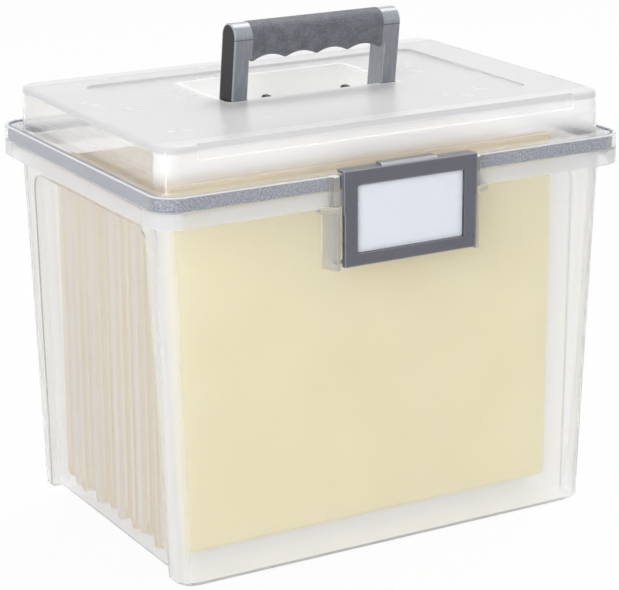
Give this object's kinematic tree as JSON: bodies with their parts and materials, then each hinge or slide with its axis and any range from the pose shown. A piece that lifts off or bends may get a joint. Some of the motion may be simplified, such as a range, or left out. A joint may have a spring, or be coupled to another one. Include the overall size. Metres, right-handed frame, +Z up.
{
  "type": "portable file box",
  "caption": "Portable file box: flared see-through tub of hanging folders, hinged lid with fold-down handle, front latch with card window.",
  "frame": {"origin": "middle of the box's footprint, on the surface it stands on", "axes": "+X along the box, +Z up, the latch side faces -Y"},
  "size_m": [0.355, 0.27, 0.3474],
  "materials": {
    "tub_plastic": "see-through frosted plastic, near white",
    "lid_plastic": "see-through plastic, clearer than the tub",
    "seal": "blue-grey band under the clear rim",
    "handle_plastic": "light blue-grey plastic",
    "grip_rubber": "dark grey textured grip",
    "dark_plastic": "near-black plastic",
    "latch_plastic": "slate grey plastic",
    "window_clear": "clear plastic sheet",
    "card": "blank pale card stock",
    "pin_steel": "plain steel pins",
    "folder_card": "buff folder card stock"
  },
  "bodies": {
    "box": {"box_body": "tub_plastic", "latch_pin": "pin_steel", "hinge_pin_left": "pin_steel", "hinge_pin_right": "pin_steel", "folder_01": "folder_card", "folder_02": "folder_card", "folder_03": "folder_card", "folder_04": "folder_card", "folder_05": "folder_card", "folder_06": "folder_card", "folder_07": "folder_card", "folder_08": "folder_card", "folder_09": "folder_card", "folder_10": "folder_card", "folder_11": "folder_card", "folder_12": "folder_card", "folder_13": "folder_card", "folder_14": "folder_card", "folder_15": "folder_card"},
    "lid": {"lid_shell": "lid_plastic", "seal_ring": "seal", "pocket_clips": "dark_plastic"},
    "handle": {"handle_frame": "handle_plastic", "handle_grip": "grip_rubber", "handle_cap_left": "dark_plastic", "handle_cap_right": "dark_plastic", "handle_pin_left": "pin_steel", "handle_pin_right": "pin_steel"},
    "latch": {"latch_frame": "latch_plastic", "window_cover": "window_clear", "card": "card", "card_backing": "latch_plastic"}
  },
  "joints": [
    {"name": "lid_hinge", "type": "hinge", "parent": "box", "child": "lid", "pos_m": [0, 0.1313, 0.2685], "axis": [-1, 0, 0], "range_deg": [0, 100]},
    {"name": "latch_hinge", "type": "hinge", "parent": "box", "child": "latch", "pos_m": [0, -0.1302, 0.2108], "axis": [1, 0, 0], "range_deg": [0, 150]},
    {"name": "handle_fold", "type": "hinge", "parent": "lid", "child": "handle", "pos_m": [0, 0, 0.284], "axis": [-1, 0, 0], "range_deg": [0, 97.9]}
  ],
  "couplings": [
    {"joint": "latch_hinge", "follows": "lid_hinge", "ratio": 1.5}
  ]
}
